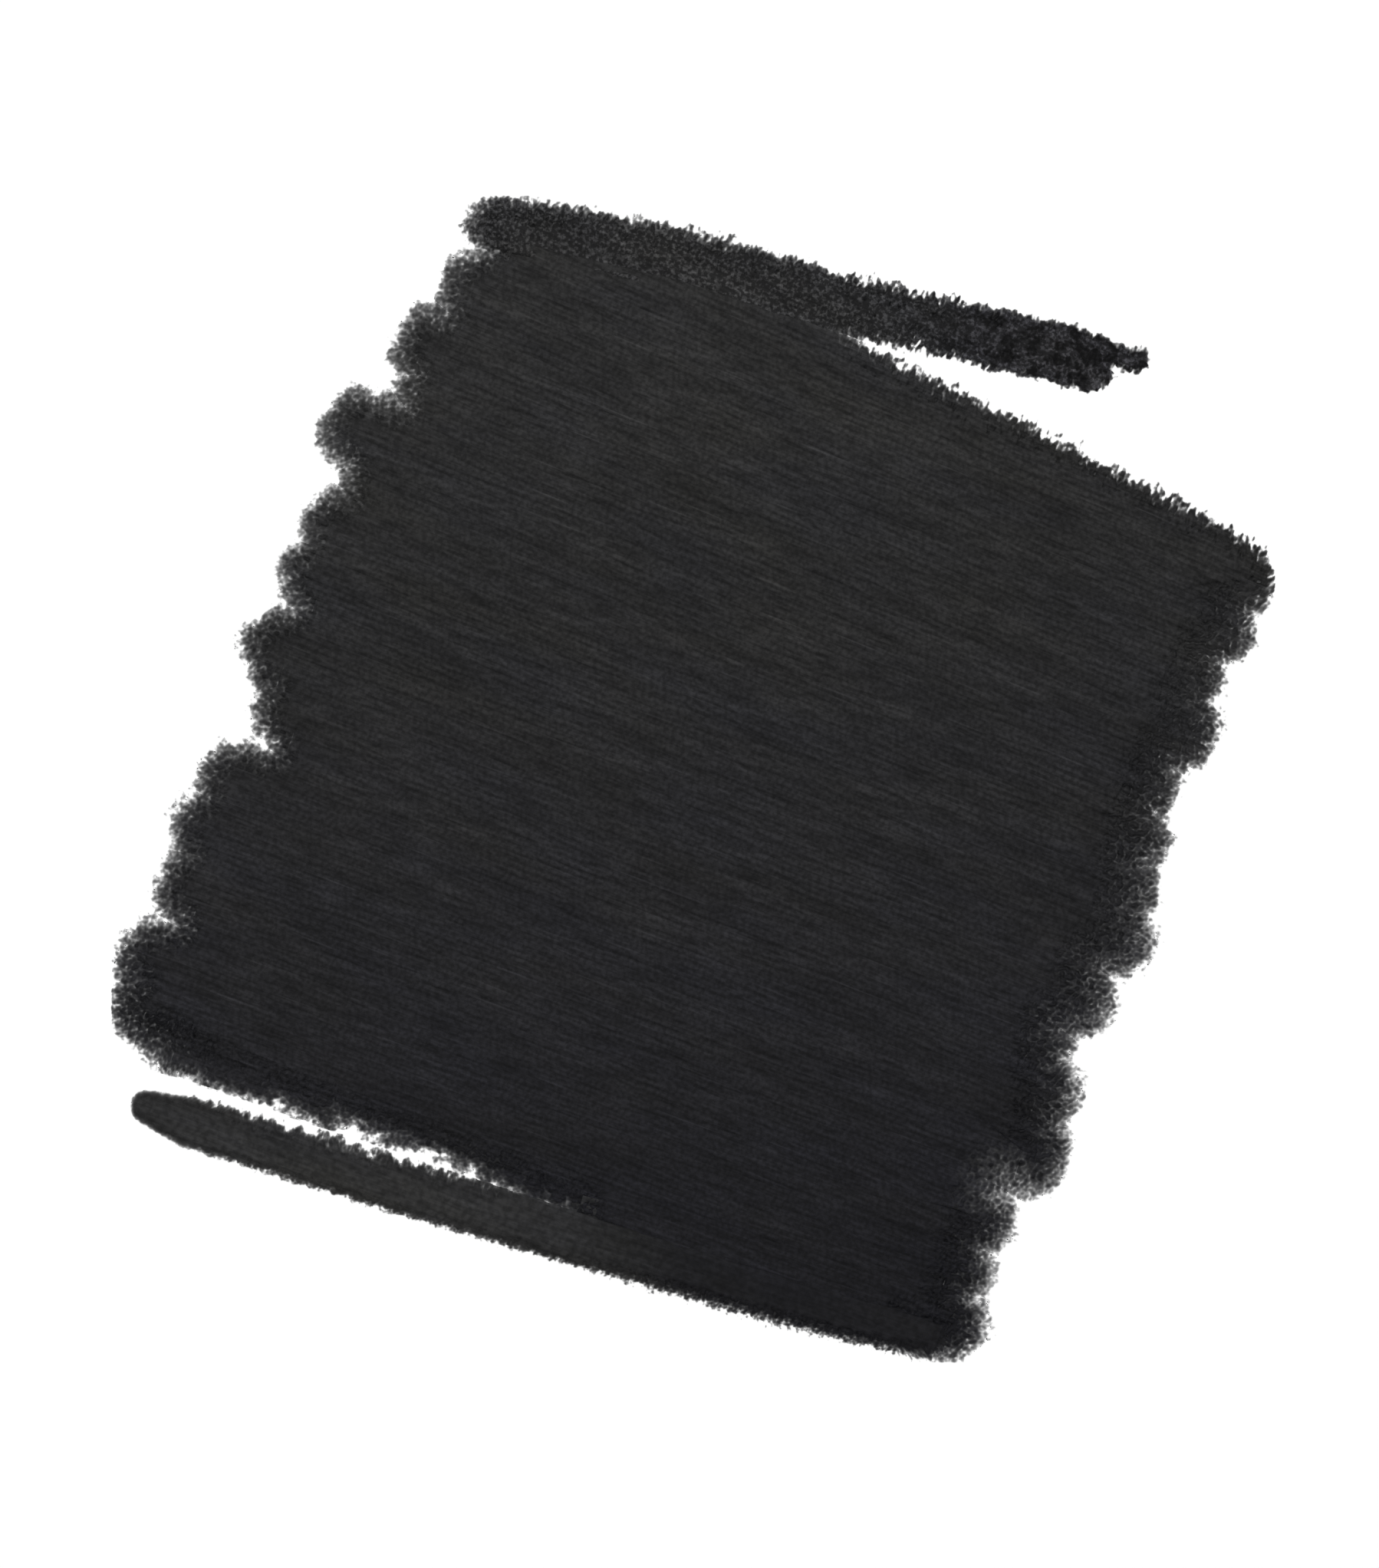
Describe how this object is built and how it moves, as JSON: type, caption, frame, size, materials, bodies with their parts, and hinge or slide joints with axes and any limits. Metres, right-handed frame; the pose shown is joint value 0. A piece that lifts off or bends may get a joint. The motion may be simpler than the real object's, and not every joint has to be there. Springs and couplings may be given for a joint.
{
  "type": "crayon scribble",
  "caption": "Dense black crayon scribble: a thin film of pigmented wax laid down in one back-and-forth run of lapped strokes with round turns and free ends.",
  "frame": {"origin": "middle of the scribble's outline, on the side that lay on the paper", "axes": "+Z away from the paper, +Y towards the opening stroke, +X towards the free end of the opening stroke"},
  "size_m": [0.0636, 0.0636, 0.0003],
  "materials": {
    "black_wax": "matte waxy black, finely streaked along the strokes, grainy at its margins"
  },
  "bodies": {
    "root": {"opening_stroke": "black_wax", "stroke_01": "black_wax", "stroke_02": "black_wax", "stroke_03": "black_wax", "stroke_04": "black_wax", "stroke_05": "black_wax", "stroke_06": "black_wax", "stroke_07": "black_wax", "stroke_08": "black_wax", "stroke_09": "black_wax", "stroke_10": "black_wax", "stroke_11": "black_wax", "stroke_12": "black_wax", "stroke_13": "black_wax", "stroke_14": "black_wax", "stroke_15": "black_wax", "stroke_16": "black_wax", "stroke_17": "black_wax", "stroke_18": "black_wax", "stroke_19": "black_wax", "stroke_20": "black_wax", "stroke_21": "black_wax", "stroke_22": "black_wax", "stroke_23": "black_wax", "stroke_24": "black_wax", "stroke_25": "black_wax", "stroke_26": "black_wax", "stroke_27": "black_wax", "stroke_28": "black_wax", "stroke_29": "black_wax", "closing_stroke": "black_wax"}
  },
  "joints": []
}
